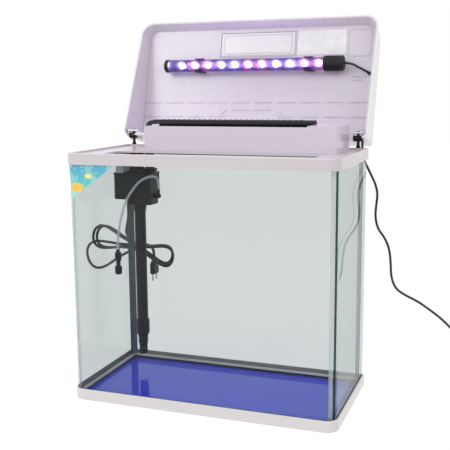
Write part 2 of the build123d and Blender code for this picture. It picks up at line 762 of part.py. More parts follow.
def strainer():
    body = upright(8.4, intake_x, pump_y, strainer_bottom, coupling_bottom)
    body += upright(strainer_neck, intake_x, pump_y, coupling_bottom - 1, coupling_bottom + 12)
    body = body - upright(6.2, intake_x, pump_y, strainer_bottom + 2, 71)
    for level in range(3):
        for i in range(8):
            slot = Rot(0, 0, 45 * i) * Pos(7, 0, 0) * Box(6, 2.2, 4.2)
            body -= Pos(intake_x, pump_y, strainer_bottom + 5.4 + 6.6 * level) * slot
    return body


# Air line
air_route = [
    (-151.0, 62.0, 374.5), (-151.0, 62.0, 389.0), (-149.0, 47.0, 401.5), (-158.0, 31.0, 402.5),
    (-176.0, 27.0, 393.0), (-189.0, 27.5, 378.0), (-203.0, 27.2, 359.5), (-211.5, 27.5, 340.0),
    (-218.0, 27.3, 317.0), (-223.5, 27.4, 293.0), (valve_x, valve_y, 272.0), (valve_x, valve_y, valve_top),
]


def air_valve():
    body = upright(3.6, valve_x, valve_y, valve_top - 6, valve_top)
    body += upright(6.4, valve_x, valve_y, valve_top - 22, valve_top - 6)
    body += upright(4.4, valve_x, valve_y, valve_top - 34, valve_top - 22)
    return body


def valve_knob():
    """Knob that turns on the valve's foot to set the air."""
    body = upright(7.0, valve_x, valve_y, valve_top - 50, valve_top - 34.3)
    body = chamfer(body.faces().sort_by(Axis.Z)[0].edges(), 2)
    for i in range(12):
        body -= Pos(valve_x, valve_y, valve_top - 41) * Rot(0, 0, 30 * i) * Pos(7.4, 0, 0) * Box(1.6, 1.4, 10)
    return body


# Cords
def corner_radii(points, share=0.45):
    """The largest tangent arc at each corner that its two runs allow."""
    radii = []
    for a, b, c in zip(points, points[1:], points[2:]):
        run_in, run_out = Vector(*b) - Vector(*a), Vector(*c) - Vector(*b)
        turn = radians(run_in.get_angle(run_out))
        radii.append(share * min(run_in.length, run_out.length) / tan(turn / 2))
    return radii


def tube(points, diameter, name):
    radii = corner_radii(points)
    path = FilletPolyline(*points, radius=radii)
    start = Plane(origin=path @ 0, z_dir=path % 0)
    body = sweep(start * Circle(diameter / 2), path)
    expected = pi * diameter ** 2 / 4 * path.length
    print(f"{name}: length {path.length:.0f} mm, least radius {min(radii):.1f} mm, "
          f"volume ratio {body.volume / expected:.4f}")
    return body


# Route on the inner panel of the closed hood: across, from the rear, off the panel
inner_lead_route = [
    (lamp_right - 6 + cord_cap[0], lamp_v, lamp_w), (199.0, lamp_v, lamp_w), (214.0, 163.0, 13.5),
    (231.0, 155.5, 6.5), (235.0, 153.5, -7.5), (235.5, 133.0, -9.5), (235.5, 108.0, -8.5),
    (235.5, 84.0, -7.2), (235.2, 62.0, -6.4), (234.2, 46.0, -4.5), (233.6, 42.0, 6.0),
]

# Open-hood route of the same lead, from the hinge line: across, behind and above it
bridge_route = [(234.0, 38.0, 6.5), (235.0, 24.0, 4.5), (236.4, 9.7, 3.0), (236.4, 9.7, -9.0)]


def turned_open(point):
    """Where a point of the closed hood lies when the hood is open."""
    x, y, z = point
    turn = radians(open_angle)
    behind, above = y - hinge_y, z - hinge_z
    return (x, hinge_y + behind * cos(turn) + above * sin(turn), hinge_z - behind * sin(turn) + above * cos(turn))


def inner_lead_points():
    """From the lamp through the hood's cavity and over its rear wall to the hinge."""
    points = []
    for x, v, w in inner_lead_route:
        points.append(turned_open(tuple(panel.from_local_coords((x, -v, -w)))))
    for x, behind, above in bridge_route:
        points.append((x, hinge_y + behind, hinge_z + above))
    return points


outer_lead_route = [
    (236.4, 130.2, 466.5), (236.4, 130.2, 450.0), (240.0, 136.0, 432.0),
    (250.5, 140.0, 410.0), (260.5, 140.5, 390.0), (265.5, 140.0, 371.0), (263.0, 140.5, 350.0),
    (261.5, 140.0, 327.0), (267.0, 140.5, 304.0), (279.5, 140.0, 289.5), (289.5, 140.5, 268.0),
    (293.0, 140.0, 240.0), (294.0, 140.5, 214.0), (302.5, 140.0, 191.0), (322.0, 140.5, 179.0),
    (345.0, 140.0, 169.5), (369.0, 140.5, 154.0), (393.0, 140.0, 137.0), (416.0, 140.5, 114.0),
    (434.0, 141.0, 88.0), (448.0, 141.5, 60.0), (464.0, coil_y + coil_radius, 37.0),
    (coil_x - 8, coil_y + coil_radius, coil_top), (coil_x, coil_y + coil_radius, coil_top),
]
pump_lead_route = [
    (cord_x, lead_start_y, pump_top + pump_lid), (cord_x, lead_start_y, 426.0), (cord_x, 86.0, 441.0),
    (cord_x, 103.0, slot_z), (cord_x, 130.0, slot_z), (cord_x - 0.5, 142.0, 437.0), (-225.0, 143.0, 419.0),
    (-231.0, 141.5, 398.0), (-240.0, 141.0, 374.0), (-250.0, 141.5, 346.0), (-257.0, 141.0, 318.0),
    (-262.0, 141.5, 290.0), (-268.0, 141.0, 262.0),
]


# Forms that a formula lays out

def biarcs(points, tangents):
    """A smooth wire: two tangent arcs between each pair of points."""
    edges = []
    for i in range(len(points) - 1):
        p, q = Vector(*points[i]), Vector(*points[i + 1])
        a, b = Vector(*tangents[i]).normalized(), Vector(*tangents[i + 1]).normalized()
        chord, both, bend = q - p, a + b, 2 * (1 - a.dot(b))
        along = chord.dot(both)
        if bend < 1e-9:
            edges.append(Line(p, q))
            continue
        reach = (sqrt(along ** 2 + bend * chord.dot(chord)) - along) / bend
        middle = (p + a * reach + q - b * reach) * 0.5
        turn = (q - b * reach) - (p + a * reach)
        edges.append(TangentArc(p, middle, tangent=a))
        edges.append(TangentArc(middle, q, tangent=turn))
    return Wire(edges)


def least_gap(wire, diameter, name):
    """Prints the smallest gap between stretches of the wire that aren't neighbours."""
    count = int(wire.length / 2.5)
    points = [tuple(wire @ (i / count)) for i in range(count + 1)]
    skip = int(3 * diameter / 2.5)
    gaps = [dist(points[i], q) for i in range(count + 1) for q in points[i + skip:]]
    print(f"{name}: length {wire.length:.0f} mm, least gap {min(gaps) - diameter:.2f} mm")


def wire_tube(wire, diameter, name):
    start = Plane(origin=wire @ 0, z_dir=wire % 0)
    body = sweep(start * Circle(diameter / 2), wire)
    expected = pi * diameter ** 2 / 4 * wire.length
    least_gap(wire, diameter, name)
    print(f"{name}: volume ratio {body.volume / expected:.4f}")
    return body


def hank_place(x, y, z):
    """A point of the hank, tilted about its tie."""
    c, s = cos(radians(hank_tilt)), sin(radians(hank_tilt))
    return (hank_x + x * c + z * s, y, hank_z - x * s + z * c)


def hank_direction(x, z):
    c, s = cos(radians(hank_tilt)), sin(radians(hank_tilt))
    return (x * c + z * s, 0, -x * s + z * c)


def hank_layout():
    """Flat loops drawn in at the tie; the last left loop hangs larger."""
    right, left = hank_reach
    points = [pump_lead_route[-1]]
    tangents = [tuple(Vector(*pump_lead_route[-1]) - Vector(*pump_lead_route[-2]))]
    for turn in range(hank_turns):
        y = hank_y + hank_pitch * turn
        points.append(hank_place(0, y, hank_waist))
        tangents.append(hank_direction(1, 0))
        points.append(hank_place(right - 4 * turn, y, 0))
        tangents.append(hank_direction(0, -1))
        points.append(hank_place(0, y, -hank_waist))
        tangents.append(hank_direction(-1, 0))
        if turn < hank_turns - 1:
            points.append(hank_place(-left + 5 * turn, y, 0))
            tangents.append(hank_direction(0, 1))
    points.append((hank_x - 128.0, y, hank_z - 20.0))
    tangents.append((0, 0, 1))
    points.append(hank_place(0, y + hank_pitch, hank_waist))
    tangents.append(hank_direction(1, 0))
    points.append((plug_x, y + hank_pitch, plug_top + pump_cord))
    tangents.append((0, 0, -1))
    points.append((plug_x, y + hank_pitch, plug_top))
    tangents.append((0, 0, -1))
    return points, tangents


def pump_hank():
    points, tangents = hank_layout()
    return wire_tube(biarcs(points, tangents), pump_cord, "pump hank")


def tie_band(long, short, wall, band):
    """A flat band round a bundle, as a ring in its own plane."""
    ring = RectangleRounded(long + 2 * wall, short + 2 * wall, min(long, short) / 3 + wall)
    hole = RectangleRounded(long, short, min(long, short) / 3)
    return extrude(ring - hole, band / 2, both=True)


def hank_tie():
    bundle = hank_pitch * hank_turns + pump_cord + 1.6
    high = 2 * hank_waist + pump_cord + 1.6
    middle = hank_y + hank_pitch * hank_turns / 2
    c, s = cos(radians(hank_tilt)), sin(radians(hank_tilt))
    plane = Plane(origin=(hank_x, middle, hank_z), x_dir=(0, 1, 0), z_dir=(c, 0, -s))
    return plane * tie_band(bundle, high, 1.2, 5.0)


def plug_body(thickness, across, long):
    """Flat two-pin plug, its cord end up and its pin face down, with the cord's end at the origin."""
    neck_long = 0.3 * long
    neck = Circle(thickness / 2 - 1)
    shoulder = Pos(0, 0, -neck_long) * RectangleRounded(thickness, across, thickness / 2 - 1)
    body = loft([neck, shoulder])
    grip = Pos(0, 0, -long) * extrude(RectangleRounded(thickness, across, thickness / 2 - 1), long - neck_long)
    return body + chamfer(grip.faces().sort_by(Axis.Z)[0].edges(), 1.0)


def plug_pins(long):
    radius, reach, spacing = plug_pin
    pins = [Pos(0, side * spacing / 2, -long - reach / 2) * Cylinder(radius, reach) for side in (-1, 1)]
    return Compound(children=[chamfer(pin.faces().sort_by(Axis.Z)[0].edges(), 1.0) for pin in pins])


def plug_location():
    return Pos(plug_x, hank_y + hank_pitch * hank_turns, plug_top)


def pump_plug():
    return plug_location() * plug_body(*plug_size)


def pump_plug_pins():
    return plug_location() * plug_pins(plug_size[2])


def lamp_coil():
    """Level turns one above the other, wound down to the floor, and a straight end."""
    points, tangents = [], []
    quarters = round(coil_turns * 4)
    for i in range(quarters + 1):
        angle = radians(90 - 90 * i)
        fall = (coil_top - coil_bottom) * i / quarters
        points.append((coil_x + coil_radius * cos(angle), coil_y + coil_radius * sin(angle), coil_top - fall))
        slope = 0 if i in (0, quarters) else -(coil_top - coil_bottom) / quarters / (coil_radius * pi / 2)
        tangents.append((sin(angle), -cos(angle), slope))
    # the end rises to the middle of the plug and runs straight into it
    x, y, z = points[-1]
    plug_middle = plug_size[0] / 2
    for further, level in ((0.4 * coil_tail, z), (coil_tail - lamp_cord, plug_middle), (coil_tail, plug_middle)):
        points.append((x, y - further, level))
        tangents.append((0, -1, 0))
    return wire_tube(biarcs(points, tangents), lamp_cord, "lamp coil")


def coil_tie():
    """Band round the turns, on the side away from the tank's front."""
    high = coil_top - coil_bottom + lamp_cord + 1.2
    wide = lamp_cord + 1.2
    angle = radians(205)
    x, y = coil_x + coil_radius * cos(angle), coil_y + coil_radius * sin(angle)
    plane = Plane(origin=(x, y, (coil_top + coil_bottom) / 2), x_dir=(cos(angle), sin(angle), 0),
                  z_dir=(-sin(angle), cos(angle), 0))
    return plane * tie_band(wide, high, 1.0, 4.0)


def lamp_plug():
    """Plug at the coil's end, lying on the floor."""
    thickness, across, long = plug_size
    plug = plug_body(*plug_size) + plug_pins(long)
    return Pos(coil_x + coil_radius, coil_y - coil_tail, thickness / 2) * Rot(-90, 0, 0) * Rot(0, 0, 90) * plug


parts = {}


def opened(shape):
    axis = Axis((0, hinge_y, hinge_z), (1, 0, 0))
    return shape.rotate(axis, -open_angle)


def make_all():
    fixed = {
        "bottom_frame": bottom_frame(),
        "blue_base_sheet": blue_base(),
        "floor_pane": floor_pane(),
        "wrap_pane": wrap_pane(),
        "rear_pane": rear_pane(),
        "foot_bead": foot_bead(),
        "corner_beads": corner_beads(),
        "top_frame": top_frame(),
        "hinge_post_left": hinge_post(-1),
        "hinge_post_right": hinge_post(1),
        "pump_housing": pump_housing(),
        "pump_cover": pump_cover(),
        "pump_riser": pump_riser(),
        "impeller_chamber": impeller_chamber(),
        "impeller": impeller(),
        "rotor_magnet": rotor_magnet(),
        "rotor_shaft": rotor_shaft(),
        "pump_hanger": pump_hanger(),
        "grey_clip": grey_clip(),
        "venturi": venturi(),
        "intake_pipe": intake_pipe(),
        "intake_coupling": intake_coupling(),
        "strainer": strainer(),
        "air_valve": air_valve(),
        "valve_knob": valve_knob(),
        "air_line": tube(air_route, air_tube, "air line"),
        "filter_box": filter_box(),
        "box_cover": box_cover(),
        "filter_foam": filter_foam(),
        "filter_grate": filter_grate(),
        "spray_bar": spray_bar(),
        "bar_elbow": bar_elbow(),
        "lamp_lead_inner": tube(inner_lead_points(), lamp_cord, "inner lamp lead"),
        "lamp_lead_outer": tube(outer_lead_route, lamp_cord, "outer lamp lead"),
        "lamp_coil": lamp_coil(),
        "coil_tie": coil_tie(),
        "lamp_plug": lamp_plug(),
        "pump_lead": tube(pump_lead_route, pump_cord, "pump lead"),
        "pump_hank": pump_hank(),
        "hank_tie": hank_tie(),
        "pump_plug": pump_plug(),
        "pump_plug_pins": pump_plug_pins(),
    }
    swinging = {
        "hood_shell": hood_shell(),
        "hood_liner": hood_liner(),
        "hatch_flap": hatch_flap(),
        "hatch_inner": hatch_inner(),
        "hatch_pins": hatch_pins(),
        "label_sheet": label_sheet(),
        "hinge_pins": hinge_pins(),
        "lamp_tube": lamp_tube(),
        "lamp_end": lamp_end(),
        "lamp_cord_cap": lamp_cord_cap(),
        "lamp_board": lamp_board(),
        "clip_left": lamp_clip(clip_places[0]),
        "clip_right": lamp_clip(clip_places[1]),
        "clip_screws": clip_screws(),
        "leds_white": leds(led_white),
        "leds_red": leds(led_red),
    }
    for name, shape in fixed.items():
        parts[name] = shape
    for name, shape in swinging.items():
        parts[name] = opened(shape)


make_all()
os.makedirs("parts", exist_ok=True)
for name, shape in parts.items():
    export_step(shape, f"parts/{name}.step")
print("nodes", len(parts))
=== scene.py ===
from math import cos, pi, radians, sin

import bmesh
import bpy
from mathutils import Matrix, Vector


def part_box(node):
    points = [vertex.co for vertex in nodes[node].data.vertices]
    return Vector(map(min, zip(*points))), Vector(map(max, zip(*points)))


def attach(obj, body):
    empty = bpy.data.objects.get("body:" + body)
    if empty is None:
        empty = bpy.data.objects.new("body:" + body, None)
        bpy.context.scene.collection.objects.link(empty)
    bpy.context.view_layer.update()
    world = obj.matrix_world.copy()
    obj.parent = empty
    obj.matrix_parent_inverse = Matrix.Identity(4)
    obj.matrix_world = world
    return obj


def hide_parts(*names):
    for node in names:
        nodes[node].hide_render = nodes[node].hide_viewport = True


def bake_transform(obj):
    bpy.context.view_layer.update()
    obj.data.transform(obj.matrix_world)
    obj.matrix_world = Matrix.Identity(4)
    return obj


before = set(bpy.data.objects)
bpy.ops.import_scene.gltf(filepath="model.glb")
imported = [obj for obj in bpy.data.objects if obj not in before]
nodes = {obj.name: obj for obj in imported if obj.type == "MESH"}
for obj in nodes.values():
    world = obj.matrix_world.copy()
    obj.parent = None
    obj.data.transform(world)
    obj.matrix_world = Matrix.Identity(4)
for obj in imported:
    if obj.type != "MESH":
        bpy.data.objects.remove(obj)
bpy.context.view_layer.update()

# Camera: place in metres, angles in degrees
camera_place = (0.52221, -1.38683, 0.57030)
camera_yaw = 20.2595
camera_pitch = 9.5611
camera_roll = -0.4906
camera_lens = 65.21
sensor_width = 36.0

# Tank
width = 0.500
depth = 0.250
height = 0.458
frame_height = 0.020
glass_inset = 0.0035
front_corner = 0.022
front_face = -depth / 2 + glass_inset
glass_thickness = 0.005
rear_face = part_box("rear_pane")[0][1] - 0.0001      # just in front of the rear pane
sheet_border = 0.012
sealant_foot = 0.015
sealant_width = 0.016

# Painted light in the front bends, a pale highlight strip and a green refraction strip standing in for
# light bent by the glass: piece, finish, first and last angle in degrees
painted_bend_lines = (("bend_painted_highlight", "bend painted highlight", -66, -38), ("bend_painted_green_refraction", "bend painted green refraction", -33, -8))

# Corner label on the front pane; its print starts a little below and left of it
label_left = -0.2400
label_right = -0.1520
label_top = height - frame_height - 0.0005
label_foot = 0.3765
print_foot = 0.375
print_width = 0.095
print_height = 0.065
print_discs = (             # place in shares of the print, radius, colour
    ((0.26, 0.34), 0.13, (1.0, 0.62, 0.10)),
    ((0.50, 0.66), 0.07, (1.0, 0.86, 0.25)),
)

# Diameters of the cords
pump_cord = 0.0056
lamp_cord = 0.0045
air_tube = 0.0050

# Hank of the pump's lead, hung up behind the tank
hank_centre = (-0.244, 0.238)       # x and z of the tie
hank_start_y = 0.141
hank_pitch = 0.0074                 # from one loop to the next behind it
hank_tilt = radians(13)
hank_waist = 0.0035                 # half of a loop's height at the tie
hank_swell = 0.57                   # how fat a loop is for its reach
hank_reaches = (0.088, 0.104, 0.084, 0.099, 0.080, 0.130)
hank_fall = radians(27)             # how far the last loop hangs down

# Coil of the lamp's lead, lying beside the tank
coil_centre = (0.490, 0.118)
coil_radius = 0.024
coil_turns = 5.25
coil_pitch = 0.0051
coil_bottom = 0.00255

# Hood's inner panel, open: a point on it, and its directions up the panel and off it
panel_foot = Vector((0, 0.1730, 0.4449))
panel_up = Vector((0, 0.235, 0.972))
panel_off = Vector((0, -0.972, 0.235))
brace_ends = ((-0.056, 0.0835), (-0.070, 0.0705))
brace_width = 0.003
brace_rise = 0.0014

# Lamp
led_first = -0.1524
led_pitch = 0.0289
led_reach = 0.0078                  # how far each lens lights the tube round it
lamp_middle = (0.1962, 0.6152)      # y and z of the tube's middle line
lamp_rib = 0.0036                   # from one rib of the tube to the next

# Stage
floor_lift = 0.84                   # share of the floor that shows as plain white
floor_white = 1.09
world_light = 0.62
soft_boxes = (              # name, place, target, size and power
    ("soft_box_left", (-1.6, -1.8, 1.9), (0, 0, 0.35), 1.4, 22.0),
    ("soft_box_right", (1.9, -1.2, 1.4), (0, 0, 0.35), 1.2, 8.0),
    ("soft_box_top", (0, 0.2, 2.4), (0, 0, 0.4), 1.6, 10.0),
)


# Shader kit
class Value:
    """A socket that takes part in sums; each sum adds a Math node."""

    def __init__(self, graph, socket):
        self.graph = graph
        self.socket = socket

    def math(self, operation, *others, clamp=False):
        settings = {"operation": operation, "use_clamp": clamp}
        return self.graph.add("ShaderNodeMath", settings, {0: self, **dict(enumerate(others, 1))})

    def __add__(self, other):
        return self.math("ADD", other)

    def __radd__(self, other):
        return self.math("ADD", other)

    def __sub__(self, other):
        return self.math("SUBTRACT", other)

    def __rsub__(self, other):
        return self.graph.add("ShaderNodeMath", {"operation": "SUBTRACT"}, {0: other, 1: self})

    def __mul__(self, other):
        return self.math("MULTIPLY", other)

    def __rmul__(self, other):
        return self.math("MULTIPLY", other)

    def __truediv__(self, other):
        return self.math("DIVIDE", other)

    def __rtruediv__(self, other):
        return self.graph.add("ShaderNodeMath", {"operation": "DIVIDE"}, {0: other, 1: self})

    def __pow__(self, other):
        return self.math("POWER", other)

    def clamped(self):
        """The same value, kept between 0 and 1."""
        return self.math("ADD", 0.0, clamp=True)

    def above(self, edge, soft):
        """0 below the edge and 1 above it, over a soft step."""
        return ((self - edge) / soft + 0.5).clamped()


class Graph:
    """The nodes of one material, or of the world."""

    def __init__(self, name, world=False):
        self.owner = (bpy.data.worlds if world else bpy.data.materials).new(name)
        self.owner.use_nodes = True
        self.tree = self.owner.node_tree
        self.tree.nodes.clear()
        self.output = self.tree.nodes.new("ShaderNodeOutputWorld" if world else "ShaderNodeOutputMaterial")

    def add(self, kind, settings=None, values=None, out=0):
        node = self.tree.nodes.new(kind)
        for key, setting in (settings or {}).items():
            if key == "stops":
                self.set_stops(node.color_ramp, setting)
            else:
                setattr(node, key, setting)
        for key, value in (values or {}).items():
            self.set(node.inputs[key], value)
        return Value(self, node.outputs[out])

    def set(self, socket, value):
        if isinstance(value, Value):
            self.tree.links.new(value.socket, socket)
        elif isinstance(value, tuple) and socket.type == "RGBA":
            socket.default_value = (*value[:3], 1.0)
        else:
            socket.default_value = value

    def set_stops(self, ramp, stops):
        while len(ramp.elements) < len(stops):
            ramp.elements.new(0.5)
        for element, (place, colour) in zip(ramp.elements, stops):
            element.position = place
            element.color = (*colour, 1.0)

    def place(self, scale=(1, 1, 1)):
        """Object coordinates, scaled."""
        point = self.add("ShaderNodeTexCoord", out="Object")
        return self.add("ShaderNodeMapping", {}, {"Vector": point, "Scale": scale})

    def axis(self, letter):
        """One of the object coordinates."""
        point = self.add("ShaderNodeTexCoord", out="Object")
        return self.add("ShaderNodeSeparateXYZ", {}, {0: point}, out=letter)

    def noise(self, scale, detail=3.0, roughness=0.5, stretch=(1, 1, 1)):
        values = {"Vector": self.place(stretch), "Scale": scale, "Detail": detail, "Roughness": roughness}
        return self.add("ShaderNodeTexNoise", {}, values, out="Fac")

    def mix(self, factor, first, second):
        """Mixes two colours."""
        return self.add("ShaderNodeMix", {"data_type": "RGBA"}, {0: factor, 6: first, 7: second}, out=2)

    def bump(self, value, strength, distance):
        return self.add("ShaderNodeBump", {}, {"Height": value, "Strength": strength, "Distance": distance})

    def finish(self, shader):
        self.set(self.output.inputs["Surface"], shader)
        return self.owner


def moulded(name, colour, rough=0.35, tone=0.04, coat=0.0, painted_corner_shade=0.3, sheen=0.5):
    """Moulded plastic: fine grain, faint cloudiness, slightly uneven gloss and painted shade in inner
    corners.
    """
    g = Graph(name)
    cloud = g.noise(14.0, 4.0)
    dusk = tuple(c * (1 - tone * 2) for c in colour)
    light = tuple(min(1.0, c * (1 + tone)) for c in colour)
    base = g.mix(cloud.above(0.5, 0.5), dusk, light)
    gloss = rough + (g.noise(55.0, 3.0) - 0.5) * 0.04
    corner = g.add("ShaderNodeAmbientOcclusion", {"samples": 4}, {"Distance": 0.004}, out="AO")
    # Painted shade: the colour darkens towards a quarter of itself where ambient occlusion finds surfaces
    # within 4 mm, in inner corners and round ribs.
    base = g.mix((1 - corner).above(0.5, 0.5) * painted_corner_shade, base, tuple(c * 0.25 for c in colour))
    surface = g.bump(g.noise(600.0, 2.0), 0.25, 0.000008)
    values = {"Base Color": base, "Roughness": gloss, "Normal": surface, "Coat Weight": coat,
              "Coat Roughness": 0.12, "Specular IOR Level": sheen}
    return g.finish(g.add("ShaderNodeBsdfPrincipled", {}, values))


def metal(name, colour, rough=0.3):
    """Turned or rolled metal with fine brushing along one direction."""
    g = Graph(name)
    brush = g.noise(260.0, 3.0, stretch=(0.15, 1, 1))
    values = {"Base Color": g.mix(brush, tuple(c * 0.85 for c in colour), colour), "Metallic": 1.0}
    values["Roughness"] = rough + (brush - 0.5) * 0.2
    return g.finish(g.add("ShaderNodeBsdfPrincipled", {}, values))


def clear(name, tint, edge_tint, gloss=0.02, haze=0.0, shine=0.75):
    """Clear sheet: deeper in colour where it is seen along its length, with its own reflection."""
    g = Graph(name)
    slant = g.add("ShaderNodeLayerWeight", {}, {"Blend": 0.5}, out="Facing")
    thin = g.add("ShaderNodeBsdfTransparent", {}, {"Color": tint})
    thick = g.add("ShaderNodeBsdfTransparent", {}, {"Color": edge_tint})
    through = g.add("ShaderNodeMixShader", {}, {0: slant ** 3.0, 1: thin, 2: thick})
    if haze:
        veil = g.add("ShaderNodeBsdfDiffuse", {}, {"Color": edge_tint})
        through = g.add("ShaderNodeMixShader", {}, {0: haze, 1: through, 2: veil})
    mirror = g.add("ShaderNodeBsdfGlossy", {}, {"Roughness": gloss})
    share = 0.014 + shine * slant ** 5.0
    return g.finish(g.add("ShaderNodeMixShader", {}, {0: share, 1: through, 2: mirror}))


def glowing(name, colour, strength, core=(1.0, 1.0, 1.0)):
    """Lit lens of a small lamp, whiter in the middle."""
    g = Graph(name)
    slant = g.add("ShaderNodeLayerWeight", {}, {"Blend": 0.35}, out="Facing")
    shade = g.mix(slant, core, colour)
    values = {"Base Color": colour, "Roughness": 0.2}
    values.update({"Emission Color": shade, "Emission Strength": strength})
    return g.finish(g.add("ShaderNodeBsdfPrincipled", {}, values))


# Finishes of single parts
def blue_finish():
    """Glossy blue sheet with a darker border, under the floor glass."""
    g = Graph("royal blue sheet")
    x = g.axis("X").math("ABSOLUTE")
    y = g.axis("Y").math("ABSOLUTE")
    past_x = x - (width / 2 - sheet_border)
    past_y = y - (depth / 2 - sheet_border)
    border = past_x.math("MAXIMUM", past_y).above(0.0, 0.003)
    cloud = g.noise(9.0, 3.0)
    face = g.mix(cloud, (0.060, 0.085, 0.96), (0.070, 0.098, 1.0))
    base = g.mix(border, face, (0.020, 0.028, 0.45))
    values = {"Base Color": base, "Roughness": 0.10, "Coat Weight": 0.15, "Coat Roughness": 0.03}
    return g.finish(g.add("ShaderNodeBsdfPrincipled", {}, values))


def foam_finish():
    """Open-cell filter foam."""
    g = Graph("filter foam")
    cells = g.add("ShaderNodeTexVoronoi", {}, {"Vector": g.place(), "Scale": 420.0}, out="Distance")
    base = g.mix(cells.above(0.45, 0.4), (0.10, 0.12, 0.14), (0.035, 0.045, 0.055))
    values = {"Base Color": base, "Roughness": 0.95, "Normal": g.bump(cells, 0.9, 0.0008)}
    return g.finish(g.add("ShaderNodeBsdfPrincipled", {}, values))


def lamp_finish():
    """Violet see-through lamp tube with close ribs round it."""
    g = Graph("lamp tube violet")
    rib = (g.axis("X") * (2 * pi / lamp_rib)).math("SINE")
    base = g.mix(rib.above(0.0, 0.8), (0.012, 0.009, 0.028), (0.060, 0.040, 0.11))
    values = {"Base Color": base, "Roughness": 0.25, "Normal": g.bump(rib, 0.6, 0.0006)}
    number = (g.axis("X") - led_first) / led_pitch
    along = number.math("PINGPONG", 0.5) * (led_pitch / led_reach)
    up = (g.axis("Y") - lamp_middle[0]) * panel_up[1] + (g.axis("Z") - lamp_middle[1]) * panel_up[2]
    up = up / led_reach
    near = along * along + up * up
    glow = (-1.1 * near).math("EXPONENT")
    core = (0.55 - near).above(0.0, 0.35)
    rose = ((number - 1.5) * (pi / 2)).math("COSINE").above(0.0, 0.6)
    lit = g.mix(rose, (0.36, 0.28, 1.0), (1.0, 0.26, 0.60))
    lit = g.mix(core, lit, (1.0, 0.94, 1.0))
    lit = g.mix(glow, (0.030, 0.015, 0.085), lit)
    values.update({"Emission Color": lit, "Emission Strength": 1.7})
    solid = g.add("ShaderNodeBsdfPrincipled", {}, values)
    through = g.add("ShaderNodeBsdfTransparent", {}, {"Color": (0.80, 0.70, 1.0)})
    slant = g.add("ShaderNodeLayerWeight", {}, {"Blend": 0.5}, out="Facing")
    cover = (0.50 + 0.20 * rib.above(0.0, 0.8) + 0.8 * slant ** 2.0).clamped()
    return g.finish(g.add("ShaderNodeMixShader", {}, {0: cover, 1: through, 2: solid}))


def decal_finish():
    """Glossy corner label in a plain sea-green fade with pale bubbles and two warm discs."""
    g = Graph("corner label")
    across = (g.axis("X") + width / 2) / print_width
    up = (g.axis("Z") - print_foot) / print_height
    fade = g.add("ShaderNodeValToRGB", {"stops": [
        (0.0, (0.55, 0.86, 0.80)), (0.45, (0.13, 0.62, 0.62)), (1.0, (0.10, 0.42, 0.66))]}, {0: up})
    wave = (across * 14.0 + (up * 9.0).math("SINE") * 0.9).math("SINE").above(0.55, 0.25)
    fade = g.mix(wave * 0.35, fade, (0.55, 0.90, 0.72))
    spots = g.add("ShaderNodeTexVoronoi", {}, {"Vector": g.place(), "Scale": 150.0, "Randomness": 1.0},
                  out="Distance")
    bubble = (1 - spots.above(0.24, 0.05)) * 0.55
    base = g.mix(bubble, fade, (0.92, 0.98, 0.97))
    for place, size, colour in print_discs:
        gap = ((across - place[0]) ** 2.0 + (up - place[1]) ** 2.0).math("SQRT")
        base = g.mix((size - gap).above(0.0, 0.03), base, colour)
    values = {"Base Color": base, "Roughness": 0.2}
    return g.finish(g.add("ShaderNodeBsdfPrincipled", {}, values))


def label_finish():
    """Bare glossy film."""
    g = Graph("bare label film")
    ripple = g.noise(60.0, 3.0)
    base = g.mix(ripple.above(0.5, 0.5), (0.86, 0.85, 0.88), (0.97, 0.97, 0.98))
    values = {"Base Color": base, "Roughness": 0.08, "Coat Weight": 0.9}
    values["Normal"] = g.bump(ripple, 0.7, 0.0012)
    return g.finish(g.add("ShaderNodeBsdfPrincipled", {}, values))


def cord_finish():
    """Smooth black sheath, slightly dusty."""
    g = Graph("cord sheath black")
    dust = g.noise(90.0, 4.0)
    base = g.mix(dust.above(0.62, 0.2) * 0.5, (0.012, 0.012, 0.013), (0.05, 0.05, 0.05))
    values = {"Base Color": base, "Roughness": 0.42 + dust * 0.1,
              "Normal": g.bump(g.noise(1500.0, 2.0), 0.15, 0.00005)}
    return g.finish(g.add("ShaderNodeBsdfPrincipled", {}, values))


